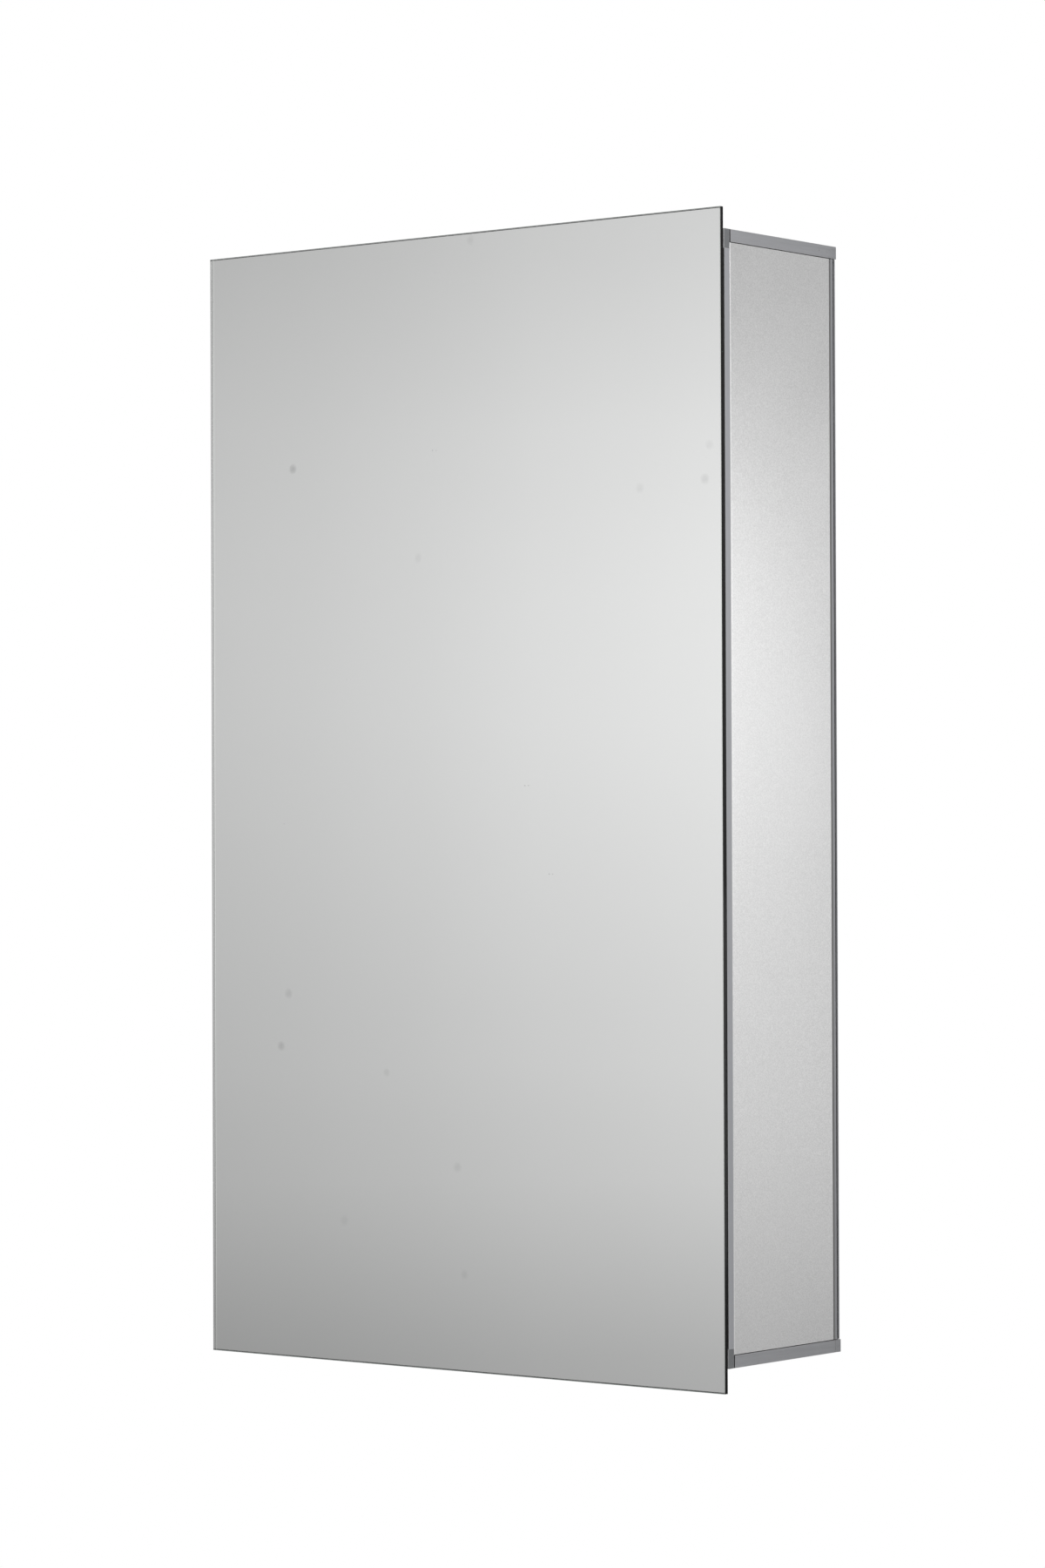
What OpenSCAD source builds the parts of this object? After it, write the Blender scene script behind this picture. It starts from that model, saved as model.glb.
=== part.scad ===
// Surface-mounted medicine cabinet: one overhanging mirror door on a continuous hinge,
// an extruded face frame, an inner box with glass shelves and an outer skin of formed sheet.
// Origin: centre of the four wall-screw holes, on the wall plane.
// +X is the viewer's right, +Y points into the wall, +Z is up. The door faces -Y, hinged at -X.
// Section drawings use (s, y): s is measured inwards from the outer face of the body.

/* [Cabinet body] */
// Width over the outer side panels
body_w = 380; // [300:1:600]
// Height over the top and bottom caps
body_h = 635; // [480:1:900]
// Depth from the wall to the face of the door
total_d = 116; // [105:1:180]
// Thickness of the outer side sheet
side_t = 0.9; // [0.7:0.1:1.4]
// Width of the folded edges of the outer side sheet
side_flange = 8; // [4:0.5:8.5]
// Thickness of the inner box sheet
inner_t = 1.2; // [0.8:0.1:1.5]
// Thickness of the back sheet
back_t = 1.0; // [0.8:0.1:1.5]
// Depth of the folded edge round the back sheet
back_flange = 8; // [5:0.5:12]

/* [Face frame] */
// Face width of the frame profile
frame_w = 11.5; // [10:0.5:18]
// Depth of the frame profile
frame_d = 5.4; // [5:0.1:8]
// Wall of the frame profile
frame_wall = 1.2; // [1:0.1:1.5]
// Length of the rear leg that carries the inner box
leg_len = 12.2; // [10:0.2:16]
// Radius on the outer front edge of the profile
frame_edge_r = 0.7; // [0.3:0.1:1]
// Length of the corner joiner's spigots
spigot_len = 18; // [10:1:30]

/* [Door] */
// Overhang of the mirror door past each side of the body
door_over_side = 0.5; // [0.2:0.1:0.8]
// Overhang of the mirror door above and below the body
door_over_end = 12.7; // [5:0.1:25]
// Distance by which the door mirror sits below the middle of the body
glass_drop = 0.9; // [0:0.1:2]
// Thickness of the door mirror
glass_t = 3; // [3:0.5:5]
// Arris ground on the glass edges
arris = 0.4; // [0.2:0.1:0.8]
// Gap between the door mirror and the face frame
door_gap = 1.4; // [1.3:0.1:2.5]
// Thickness of the door pan sheet
pan_t = 0.8; // [0.6:0.1:1.2]
// Clearance between the door pan and the frame opening
pan_margin = 4; // [3:0.5:8]
// Thickness of the mirror on the inside of the door
rear_glass_t = 3; // [2:0.5:4]
// Thickness of the foam under the rear mirror
pad_t = 1.5; // [1.3:0.1:3]
// Width of the hem that holds the rear mirror
hem_w = 3.5; // [2:0.5:6]

/* [Continuous hinge] */
// Number of knuckles, odd so that both end knuckles belong to the stile
knuckles = 25; // [9:2:41]
// Outer radius of a knuckle
knuckle_r = 1.9; // [1.8:0.1:2.1]
// Radius of the hinge pin
pin_r = 1.0; // [0.7:0.1:1.2]
// Radial running clearance of the pin
pin_clear = 0.05; // [0.02:0.01:0.1]
// Gap between neighbouring knuckles
knuckle_gap = 0.25; // [0.15:0.05:0.5]
// Room round the knuckles
hinge_clear = 0.3; // [0.25:0.05:0.4]
// Distance of the hinge axis inside the outer side face
axis_in = 0.9; // [0.6:0.1:1.0]
// Thickness of the door leaf
leaf_t = 1.0; // [0.8:0.1:1.0]
// Distance from the outer side face to the leaf's far edge
leaf_reach = 23; // [21:0.5:30]

/* [Caps] */
// Height of the cap rim
cap_h = 7; // [5:0.5:8]
// Wall of the caps
cap_t = 1.2; // [1:0.1:2]
// Radius of the rear corners of the caps
cap_corner_r = 1.5; // [1.3:0.1:6]
// Gap between the face frame and a cap
cap_gap = 0.8; // [0.3:0.1:1]
// Shadow gap between a cap and the side panel
cap_shadow = 0.5; // [0.4:0.1:1.5]

/* [Rear profile] */
// Visible width of the rear profile
rear_d = 5.4; // [4.5:0.1:8]
// Wall of the rear profile
rear_wall = 1.6; // [1.3:0.1:2.5]
// Distance by which the rear profile stops short of the wall
rear_set = 2; // [1:0.5:5]
// Width of the groove along the rear profile
groove_w = 2; // [1:0.1:2.4]
// Depth of that groove
groove_deep = 0.9; // [0.4:0.1:1]
// Width of the lip behind the groove
groove_lip = 0.7; // [0.6:0.1:1]

/* [Inside] */
// Bare border of the back sheet beside its mirror
back_border_side = 9.7; // [6:0.1:60]
// Bare border of the back sheet above and below its mirror
back_border_end = 45.2; // [42:0.1:120]
// Thickness of the tape under the back mirror
back_tape_t = 1; // [0.5:0.1:2]
// Thickness of the shelves
shelf_t = 5; // [4:0.5:8]
// Depth of the shelves
shelf_d = 80; // [70:1:80]
// Side clearance of the shelves
shelf_clear = 1.6; // [1.5:0.1:4]
// Distance between the two shelves
shelf_gap = 204; // [150:1:240]
// Radius of the shelf support holes
peg_hole_r = 2.5; // [2:0.1:3]
// Spacing of the support holes up the wall
peg_pitch = 32; // [20:1:40]
// Holes in each run of support holes
pegs_per_run = 5; // [1:2:7]
// Distance of the rear support holes from the wall plane
peg_rear = 24; // [20:1:30]
// Distance between the rear and front support holes
peg_span = 42; // [30:1:50]

/* [Catches] */
// Height of the catches above and below the middle
catch_z = 200; // [160:1:205]
// Height of the catch body
catch_h = 30; // [24:1:40]
// Width of the catch body
catch_w = 14; // [12:0.5:18]
// Depth of the catch body
catch_d = 10; // [8:0.5:11]
// Gap between a magnet and its strike plate
catch_air = 0.3; // [0.1:0.1:0.6]

/* [Wall mount] */
// Distance of the wall screws from the inner side walls
wall_screw_side = 39.7; // [15:0.1:80]
// Distance of the wall screws from the inner top and bottom
wall_screw_end = 25.2; // [15:0.1:32]
// Radius of the wall-screw holes
wall_hole_r = 3; // [2.5:0.1:4]

/* [Hidden] */
$fn = 48;
tiny = 0.01;
seat = 0.1;

// Depth stations, from the door face to the wall
door_front_y = -total_d;
glass_back_y = door_front_y + glass_t;
leaf_back_y = glass_back_y + leaf_t;
frame_front_y = glass_back_y + door_gap;
frame_back_y = frame_front_y + frame_d;
cap_front_y = frame_back_y + cap_gap;
skin_front_y = frame_back_y + seat;
rear_back_y = -rear_set;
rear_front_y = rear_back_y - rear_d;

// Distances s from the outer face of the body, inwards
leg_s = frame_w - frame_wall;
inner_s = leg_s - inner_t;
opening_s = frame_w;
pan_s = frame_w + pan_margin;

// Hinge axis and the rebate that its knuckles turn in
axis_x = -body_w / 2 + axis_in;
axis_y = glass_back_y + hinge_clear + knuckle_r;
rebate_s = axis_in + knuckle_r + hinge_clear;
rebate_y = axis_y + knuckle_r + hinge_clear;
joiner_h = frame_w - 0.5;
stile_len = body_h - 2 * joiner_h;
pitch = stile_len / knuckles;
stile_hollow_s = rebate_s + frame_wall;

// Door mirror, back mirror and wall screws
door_w = body_w + 2 * door_over_side;
door_h = body_h + 2 * door_over_end;
back_mirror_w = 2 * (x_of(leg_s) - back_border_side);
back_mirror_h = 2 * (z_of(leg_s) - back_border_end);
wall_span_x = 2 * (x_of(leg_s) - wall_screw_side);
wall_span_z = 2 * (z_of(leg_s) - wall_screw_end);

// Door pan and what it holds
pan_w = body_w - 2 * pan_s;
pan_h = body_h - 2 * pan_s;
pan_floor_y = leaf_back_y + pan_t;
rear_glass_y = pan_floor_y + pad_t;
hem_y = rear_glass_y + rear_glass_t + 0.2;
hem_back_y = hem_y + pan_t;
rear_glass_play = 0.7;
bead_r = 1.1;
bead_x = 62;
bead_end = 40;

// Bonding strips and pads: width, and distance from the edges of what they hold
strip_w = 12;
tape_in = 16;
tape_end = 12;
pad_in = 22;
pad_end = 15;
back_tape_in = 14;
back_tape_end = 10;

// Stiffening beads of the back sheet
back_bead_r = 1.2;
back_bead_out = 6;

// Strike plates and catches
strike_t = 1;
strike_out = 0.8;
strike_reach = 11;
strike_back_y = hem_back_y + strike_t;
strike_h = 36;
strike_rivet_r = 1.05;
strike_hole_r = 1.1;
strike_rivet_end = 5;
strike_head_h = 0.6;
strike_rivet_y = (pan_floor_y + hem_y) / 2;
strike_rivet_z = [for (side = [-1, 1], end = [-1, 1])
                  side * catch_z + end * (strike_h / 2 - strike_rivet_end)];
magnet_front_y = strike_back_y + catch_air;
catch_front_y = magnet_front_y + 0.2;
catch_flange_t = 2;
catch_ear = 7;
magnet_wall = 1.5;
catch_hole_r = 1.5;
catch_screw_at = catch_h / 2 + catch_ear / 2;

// Fixings
rivet_r = 1.6;
rivet_hole_r = 1.7;
rivet_head_r = 3;
rivet_head_h = 0.9;
stile_rivets_n = 4;
stile_rivet_end = 26;
stile_rivet_z = evenly(stile_rivets_n, stile_len - 2 * stile_rivet_end);
rail_len = body_w - 2 * frame_w;
rail_rivets_n = 3;
rail_rivet_end = 58.5;
rail_rivet_x = evenly(rail_rivets_n, rail_len - 2 * rail_rivet_end);
leaf_rivet_s = pan_s + pan_t + 3.4;
leaf_rivets_n = 9;
leaf_rivet_end = 22;
leaf_rivet_z = evenly(leaf_rivets_n, pan_h - 2 * leaf_rivet_end);
cap_screw_side = 40;
cap_screw_x = body_w / 2 - cap_screw_side;
cap_screw_front = 78;
cap_screw_rear = 22;
cap_screw_r = 1.45;
cap_boss_r = 3.4;
cap_seam_in = 6.2;
cap_seam_w = 0.3;
staking_r = 0.5;
staking_deep = 0.2;
staking_y = [-18.3, -10.9];
bumper_r = 3.5;
bumper_air = 0.1;
bumper_s = 6;
bumper_inset = 24;

// Shelf supports
peg_r = peg_hole_r - 0.05;
peg_len = 6;
peg_collar_r = 4;
peg_collar_t = 1;
peg_drop = 3.5;
pad_reach = 10.5;
pad_half = 5;
pad_thick = 2.4;
peg_rows = [-peg_rear, -peg_rear - peg_span];
shelf_rear = 6;

function x_of(s) = body_w / 2 - s;
function z_of(s) = body_h / 2 - s;
function evenly(n, span) = [for (i = [0:n - 1]) span * (i / (n - 1) - 0.5)];

// A vertical extrusion of a (s, y) section on the left (-1) or right (+1) side
module upright(side, length) {
    translate([side * body_w / 2, 0, -length / 2])
        mirror([side > 0 ? 1 : 0, 0, 0])
            linear_extrude(length) children();
}

// A level extrusion of a (s, y) section at the bottom (-1) or top (+1)
module crossways(side, length) {
    mirror([0, 0, side < 0 ? 1 : 0])
        translate([-length / 2, 0, body_h / 2])
            rotate([0, 90, 0]) linear_extrude(length) children();
}

// What is left of a square corner outside a quarter circle
module corner_waste(r) {
    difference() {
        translate([-tiny, -tiny]) square(r + tiny);
        translate([r, r]) circle(r);
    }
}

// Strip with rounded outer bend: from the bend at the origin along +x and +y
module bent_corner(t, r) {
    intersection() {
        difference() {
            translate([r, r]) circle(r);
            translate([r, r]) circle(r - t);
        }
        square(r);
    }
}

// Screw with a low domed head under z = 0 and its shank towards +z
module dome_screw(length, shank_r, head_r, head_h) {
    difference() {
        union() {
            translate([0, 0, -head_h * 0.55]) cylinder(h = head_h * 0.55, r = head_r);
            translate([0, 0, -head_h]) cylinder(h = head_h * 0.45, r1 = head_r * 0.72, r2 = head_r);
            translate([0, 0, -tiny]) cylinder(h = length - shank_r + tiny, r = shank_r);
            translate([0, 0, length - shank_r]) cylinder(h = shank_r, r1 = shank_r, r2 = shank_r * 0.3);
        }
        for (turn = [0, 90]) rotate([0, 0, turn])
            translate([-head_r * 0.5, -head_r * 0.1, -head_h - tiny])
                cube([head_r, head_r * 0.2, head_h * 0.6]);
    }
}

// Plate of glass facing -y with an arris ground round its front edges
module glass_plate(w, h, t) {
    difference() {
        translate([-w / 2, 0, -h / 2]) cube([w, t, h]);
        for (side = [-1, 1]) {
            translate([side * w / 2, 0, -h / 2 - 1]) linear_extrude(h + 2)
                polygon([[-arris * side, 0], [tiny * side, arris + tiny], [side, arris], [side, -1],
                         [-arris * side, -1]]);
            translate([-w / 2 - 1, 0, side * h / 2]) rotate([90, 0, 90]) linear_extrude(w + 2)
                polygon([[0, -arris * side], [arris + tiny, tiny * side], [arris, side], [-1, side],
                         [-1, -arris * side]]);
        }
    }
}

// Face frame profile: hollow box with a rounded outer edge and a rear leg
module frame_section(hollow_s) {
    difference() {
        union() {
            translate([0, frame_front_y]) square([frame_w, frame_d]);
            translate([leg_s, frame_back_y - tiny]) square([frame_wall, leg_len + tiny]);
        }
        translate([hollow_s, frame_front_y + frame_wall])
            square([leg_s - hollow_s, frame_d - 2 * frame_wall]);
        translate([0, frame_front_y]) corner_waste(frame_edge_r);
        translate([frame_w, frame_front_y]) mirror([1, 0]) corner_waste(frame_edge_r / 2);
    }
}

// Holes through the frame legs and the inner walls, on one side
module stile_rivet_holes(side) {
    for (z = stile_rivet_z)
        translate([side * x_of(inner_s - 1), rivet_y(), z]) rotate([0, -side * 90, 0])
            cylinder(h = frame_w - inner_s + 2, r = rivet_hole_r);
}

module rail_rivet_holes(side) {
    for (x = rail_rivet_x)
        translate([x, rivet_y(), side * z_of(inner_s - 1)]) rotate([side > 0 ? 180 : 0, 0, 0])
            cylinder(h = frame_w - inner_s + 2, r = rivet_hole_r);
}

function rivet_y() = frame_back_y + leg_len / 2;
function catch_screw_y() = catch_front_y + catch_d / 2;

module catch_screw_holes() {
    for (side = [-1, 1], ear = [-1, 1])
        translate([x_of(inner_s - 1), catch_screw_y(), side * catch_z + ear * catch_screw_at])
            rotate([0, -90, 0]) cylinder(h = frame_w - inner_s + 2, r = catch_hole_r);
}

// Left stile: the fixed knuckles are part of the profile, the others turn in rebates
module hinge_stile() {
    color("silver") difference() {
        union() {
            upright(-1, stile_len) frame_section(stile_hollow_s);
            upright(-1, stile_len) translate([axis_in, axis_y]) circle(knuckle_r);
        }
        for (i = [1:2:knuckles - 2])
            translate([-body_w / 2 - 2 * knuckle_r, door_front_y, -stile_len / 2 + i * pitch])
                cube([2 * knuckle_r + rebate_s, rebate_y - door_front_y, pitch]);
        translate([axis_x, axis_y, -stile_len / 2 - 1])
            cylinder(h = stile_len + 2, r = pin_r + pin_clear);
        stile_rivet_holes(-1);
    }
}

module closing_stile() {
    color("silver") difference() {
        upright(1, stile_len) frame_section(frame_wall);
        stile_rivet_holes(1);
        catch_screw_holes();
    }
}

module rail(side) {
    color("silver") difference() {
        crossways(side, rail_len) frame_section(frame_wall);
        rail_rivet_holes(side);
    }
}

// Moulded joiner between a stile and a rail: a visible corner block with two spigots
module corner_joiner(side_x, side_z, hollow_s) {
    spigot_t = frame_d - 2 * frame_wall - 2 * seat;
    spigot_y = frame_front_y + frame_wall + seat;
    color("dimgray") mirror([side_x < 0 ? 1 : 0, 0, 0]) mirror([0, 0, side_z < 0 ? 1 : 0]) union() {
        difference() {
            translate([x_of(frame_w), frame_front_y, z_of(joiner_h)]) cube([frame_w, frame_d, joiner_h]);
            translate([body_w / 2, frame_front_y, z_of(joiner_h) - 1]) mirror([1, 0, 0])
                linear_extrude(joiner_h + 2) corner_waste(frame_edge_r);
            translate([x_of(frame_w) - 1, frame_front_y, body_h / 2]) rotate([0, 90, 0])
                linear_extrude(frame_w + 2) corner_waste(frame_edge_r);
        }
        difference() {
            translate([x_of(leg_s - seat), spigot_y, z_of(joiner_h + spigot_len)])
                cube([leg_s - hollow_s - 2 * seat, spigot_t, spigot_len + tiny]);
            for (rib = [0:3])
                translate([x_of(hollow_s + seat) - 0.5, spigot_y - 1, z_of(joiner_h + 4 + rib * 3.5)])
                    cube([1, spigot_t + 2, 1.2]);
        }
        difference() {
            translate([x_of(frame_w + spigot_len), spigot_y, z_of(leg_s - seat)])
                cube([spigot_len + tiny, spigot_t, leg_s - frame_wall - 2 * seat]);
            for (rib = [0:3])
                translate([x_of(frame_w + 4 + rib * 3.5), spigot_y - 1, z_of(frame_wall + seat) - 0.5])
                    cube([1.2, spigot_t + 2, 1]);
        }
    }
}

// Outer skin: a sheet folded inwards along its front and rear edges
module side_panel(side) {
    bend_r = side_t + 0.1;
    skin_back_y = rear_front_y - seat;
    color("gainsboro") upright(side, body_h - 2 * (cap_h + cap_shadow)) {
        translate([0, skin_front_y + bend_r]) square([side_t, skin_back_y - skin_front_y - 2 * bend_r]);
        translate([0, skin_front_y]) bent_corner(side_t, bend_r);
        translate([bend_r - tiny, skin_front_y]) square([side_flange - bend_r, side_t]);
        translate([0, skin_back_y]) mirror([0, 1]) bent_corner(side_t, bend_r);
        translate([bend_r - tiny, skin_back_y - side_t]) square([side_flange - bend_r, side_t]);
    }
}

// Rear upright profile: a grooved outer face, a web and a foot on the inner wall
module rear_profile(side) {
    foot_s = inner_s - seat;
    color("silver") upright(side, body_h - 2 * (cap_h + cap_shadow)) difference() {
        union() {
            translate([0, rear_front_y]) square([rear_wall, rear_d]);
            translate([0, rear_front_y]) square([foot_s, rear_wall]);
            translate([foot_s - rear_wall, rear_front_y]) square([rear_wall, rear_d]);
        }
        translate([-tiny, rear_back_y - groove_lip - groove_w]) square([groove_deep + tiny, groove_w]);
        translate([0, rear_back_y]) mirror([0, 1]) corner_waste(0.4);
    }
}

// Plan outline of a cap, drawn in by the given wall
module cap_outline(inset) {
    r = max(cap_corner_r - inset, 0.2);
    x = body_w / 2 - inset;
    y0 = cap_front_y + inset;
    translate([-x, y0]) square([2 * x, -inset - r - y0]);
    translate([r - x, y0]) square([2 * (x - r), -inset - y0]);
    for (side = [-1, 1]) translate([side * (x - r), -inset - r]) circle(r);
}

cap_screw_spots = [for (sx = [-1, 1], y = [-cap_screw_front, -cap_screw_rear]) [sx * cap_screw_x, y]];

// Tray-shaped cap with screw bosses; the upper one has two staking dimples on each side
module cap(side, staked) {
    rim_z = body_h / 2 - cap_h;
    plate_z = body_h / 2 - cap_t;
    color("darkgray") mirror([0, 0, side < 0 ? 1 : 0]) difference() {
        union() {
            difference() {
                translate([0, 0, rim_z]) linear_extrude(cap_h) cap_outline(0);
                translate([0, 0, rim_z - 1]) linear_extrude(cap_h + 1 - cap_t) cap_outline(cap_t);
            }
            for (spot = cap_screw_spots)
                translate([spot[0], spot[1], z_of(inner_s)])
                    cylinder(h = plate_z - z_of(inner_s) + tiny, r = cap_boss_r);
            for (x = [-cap_screw_x, cap_screw_x])
                translate([x - cap_t / 2, cap_front_y + cap_t - tiny, plate_z - 3])
                    cube([cap_t, -2 * cap_t - cap_front_y + 2 * tiny, 3 + tiny]);
        }
        for (spot = cap_screw_spots)
            translate([spot[0], spot[1], z_of(inner_s) - 1])
                cylinder(h = plate_z - z_of(inner_s) + 0.6, r = cap_screw_r + 0.05);
        // Folding seam just ahead of each rear corner
        for (sx = [-1, 1])
            translate([sx * body_w / 2, -cap_seam_in, rim_z - 1])
                translate([-cap_seam_w, -cap_seam_w / 2, 0]) cube([2 * cap_seam_w, cap_seam_w, cap_h + 2]);
        if (staked) for (sx = [-1, 1], y = staking_y)
            translate([sx * (body_w / 2 - staking_deep), y, body_h / 2 - cap_h * 0.55])
                rotate([0, sx * 90, 0]) cylinder(h = 1, r = staking_r);
    }
}

module cap_screws() {
    color("lightgray") for (side = [-1, 1], spot = cap_screw_spots)
        translate([spot[0], spot[1], side * z_of(leg_s)]) rotate([side > 0 ? 0 : 180, 0, 0])
            dome_screw(inner_t + 7, cap_screw_r, 3.2, 1.8);
}

// Side wall of the inner box with its runs of shelf support holes
module inner_wall(side) {
    color("gainsboro") difference() {
        upright(side, 2 * z_of(leg_s)) translate([inner_s, skin_front_y])
            square([inner_t, -back_t - skin_front_y]);
        stile_rivet_holes(side);
        if (side > 0) catch_screw_holes();
        for (y = peg_rows, run = [-1, 1], i = [0:pegs_per_run - 1])
            translate([side * x_of(inner_s - 1), y, run * shelf_gap / 2 - shelf_pin_drop()
                       + (i - (pegs_per_run - 1) / 2) * peg_pitch])
                rotate([0, -side * 90, 0]) cylinder(h = inner_t + 2, r = peg_hole_r);
    }
}

function shelf_pin_drop() = shelf_t / 2 + peg_drop;

// Top or bottom of the inner box
module inner_lid(side) {
    color("gainsboro") difference() {
        crossways(side, 2 * x_of(inner_s)) translate([inner_s, skin_front_y])
            square([inner_t, -back_t - skin_front_y]);
        rail_rivet_holes(side);
        for (spot = cap_screw_spots)
            translate([spot[0], spot[1], side * z_of(leg_s) - 2]) cylinder(h = 4, r = cap_screw_r + 0.35);
    }
}

// Back sheet with folded edges, two stiffening beads and the four wall-screw holes
module back_panel() {
    half_w = x_of(leg_s) - seat;
    half_h = z_of(leg_s) - seat;
    bead_z = back_mirror_h / 2 + back_bead_out;
    color("lightgray") difference() {
        union() {
            difference() {
                translate([-half_w, -back_flange, -half_h]) cube([2 * half_w, back_flange, 2 * half_h]);
                translate([back_t - half_w, -back_flange - 1, back_t - half_h])
                    cube([2 * (half_w - back_t), back_flange + 1 - back_t, 2 * (half_h - back_t)]);
            }
            for (side = [-1, 1]) intersection() {
                translate([-back_mirror_w / 2, 0, side * bead_z]) rotate([0, 90, 0])
                    cylinder(h = back_mirror_w, r = back_bead_r + back_t);
                translate([-back_mirror_w, -back_bead_r - 2 * back_t, -body_h])
                    cube([2 * back_mirror_w, back_bead_r + 1.5 * back_t, 2 * body_h]);
            }
        }
        for (side = [-1, 1])
            translate([-back_mirror_w / 2 - 1, 0, side * bead_z]) rotate([0, 90, 0])
                cylinder(h = back_mirror_w + 2, r = back_bead_r);
        for (sx = [-1, 1], sz = [-1, 1])
            translate([sx * wall_span_x / 2, 1, sz * wall_span_z / 2]) rotate([90, 0, 0])
                cylinder(h = back_t + 2, r = wall_hole_r);
    }
}

module back_mirror() {
    color("lightblue") translate([0, -back_t - back_tape_t - rear_glass_t, 0])
        glass_plate(back_mirror_w, back_mirror_h, rear_glass_t);
}

module back_mirror_tape() {
    color("dimgray") for (x = [-1, 0, 1] * (back_mirror_w / 2 - back_tape_in))
        translate([x - strip_w / 2, -back_t - back_tape_t, back_tape_end - back_mirror_h / 2])
            cube([strip_w, back_tape_t, back_mirror_h - 2 * back_tape_end]);
}

// Glass shelf with its front edge ground round
module shelf(z) {
    half_w = x_of(leg_s) - shelf_clear;
    nose_r = shelf_t / 2;
    front_y = -shelf_rear - shelf_d;
    color("lightcyan") translate([-half_w, 0, z]) rotate([90, 0, 90]) linear_extrude(2 * half_w) {
        translate([front_y + nose_r, -shelf_t / 2]) square([shelf_d - nose_r, shelf_t]);
        translate([front_y + nose_r, 0]) circle(nose_r);
    }
}

// Shelf support: a peg with a collar, a pad under the glass and a gusset
module shelf_support() {
    rotate([0, -90, 0]) cylinder(h = peg_collar_t, r = peg_collar_r);
    rotate([0, 90, 0]) translate([0, 0, -tiny]) cylinder(h = peg_len + tiny, r = peg_r);
    translate([-peg_collar_t - pad_reach, -pad_half, peg_drop - pad_thick])
        cube([pad_reach + tiny, 2 * pad_half, pad_thick]);
    translate([-peg_collar_t + tiny, 1, 0]) rotate([90, 0, 0]) linear_extrude(2)
        polygon([[0, -3], [0, peg_drop - pad_thick + tiny], [-pad_reach + 1.5, peg_drop - pad_thick + tiny]]);
}

module shelf_supports(z) {
    color("white") for (side = [-1, 1], y = peg_rows)
        translate([side * x_of(leg_s), y, z - shelf_t / 2 - peg_drop])
            mirror([side < 0 ? 1 : 0, 0, 0]) shelf_support();
}

module hinge_pin() {
    color("gray") translate([axis_x, axis_y, -stile_len / 2 + 0.3]) union() {
        translate([0, 0, pin_r / 2]) cylinder(h = stile_len - 0.6 - pin_r, r = pin_r);
        cylinder(h = pin_r / 2 + tiny, r1 = pin_r / 2, r2 = pin_r);
        translate([0, 0, stile_len - 0.6 - pin_r / 2 - tiny])
            cylinder(h = pin_r / 2 + tiny, r1 = pin_r, r2 = pin_r / 2);
    }
}

// Door leaf of the hinge: bonded behind the glass, curled round the pin at every second knuckle
module hinge_leaf() {
    color("silver") difference() {
        union() {
            upright(-1, stile_len) translate([rebate_s, glass_back_y])
                square([leaf_reach - rebate_s, leaf_t]);
            for (i = [1:2:knuckles - 2])
                translate([0, 0, -stile_len / 2 + i * pitch + knuckle_gap]) {
                    translate([axis_x, axis_y, 0]) cylinder(h = pitch - 2 * knuckle_gap, r = knuckle_r);
                    translate([axis_x, glass_back_y, 0])
                        cube([rebate_s - axis_in + tiny, leaf_t, pitch - 2 * knuckle_gap]);
                }
        }
        translate([axis_x, axis_y, -stile_len / 2]) cylinder(h = stile_len, r = pin_r + pin_clear);
        for (z = leaf_rivet_z) translate([-x_of(leaf_rivet_s), glass_back_y, z]) rotate([-90, 0, 0]) {
            translate([0, 0, -1]) cylinder(h = leaf_t + 2, r = rivet_hole_r);
            translate([0, 0, -tiny]) cylinder(h = 0.7, r1 = rivet_r + 1, r2 = rivet_r + 0.1);
        }
    }
}

// Flush rivets that join the pan to the leaf
module leaf_rivets() {
    color("gray") for (z = leaf_rivet_z)
        translate([-x_of(leaf_rivet_s), glass_back_y + 0.05, z]) rotate([-90, 0, 0]) {
            cylinder(h = 0.6, r1 = rivet_r + 0.8, r2 = rivet_r);
            cylinder(h = leaf_t + pan_t + tiny, r = rivet_r);
            translate([0, 0, leaf_t + pan_t - 0.05]) cylinder(h = rivet_head_h, r1 = rivet_head_r, r2 = 2);
        }
}

module door_mirror() {
    color("lightblue") translate([0, door_front_y, -glass_drop]) glass_plate(door_w, door_h, glass_t);
}

// Bonding strips between the door mirror and the pan
module door_tape() {
    tape_h = pan_h - 2 * tape_end;
    color("dimgray") for (x = [tape_in - x_of(leaf_reach), -bead_x, bead_x, pan_w / 2 - tape_in])
        translate([x - strip_w / 2, glass_back_y, -tape_h / 2]) cube([strip_w, leaf_t, tape_h]);
}

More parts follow.
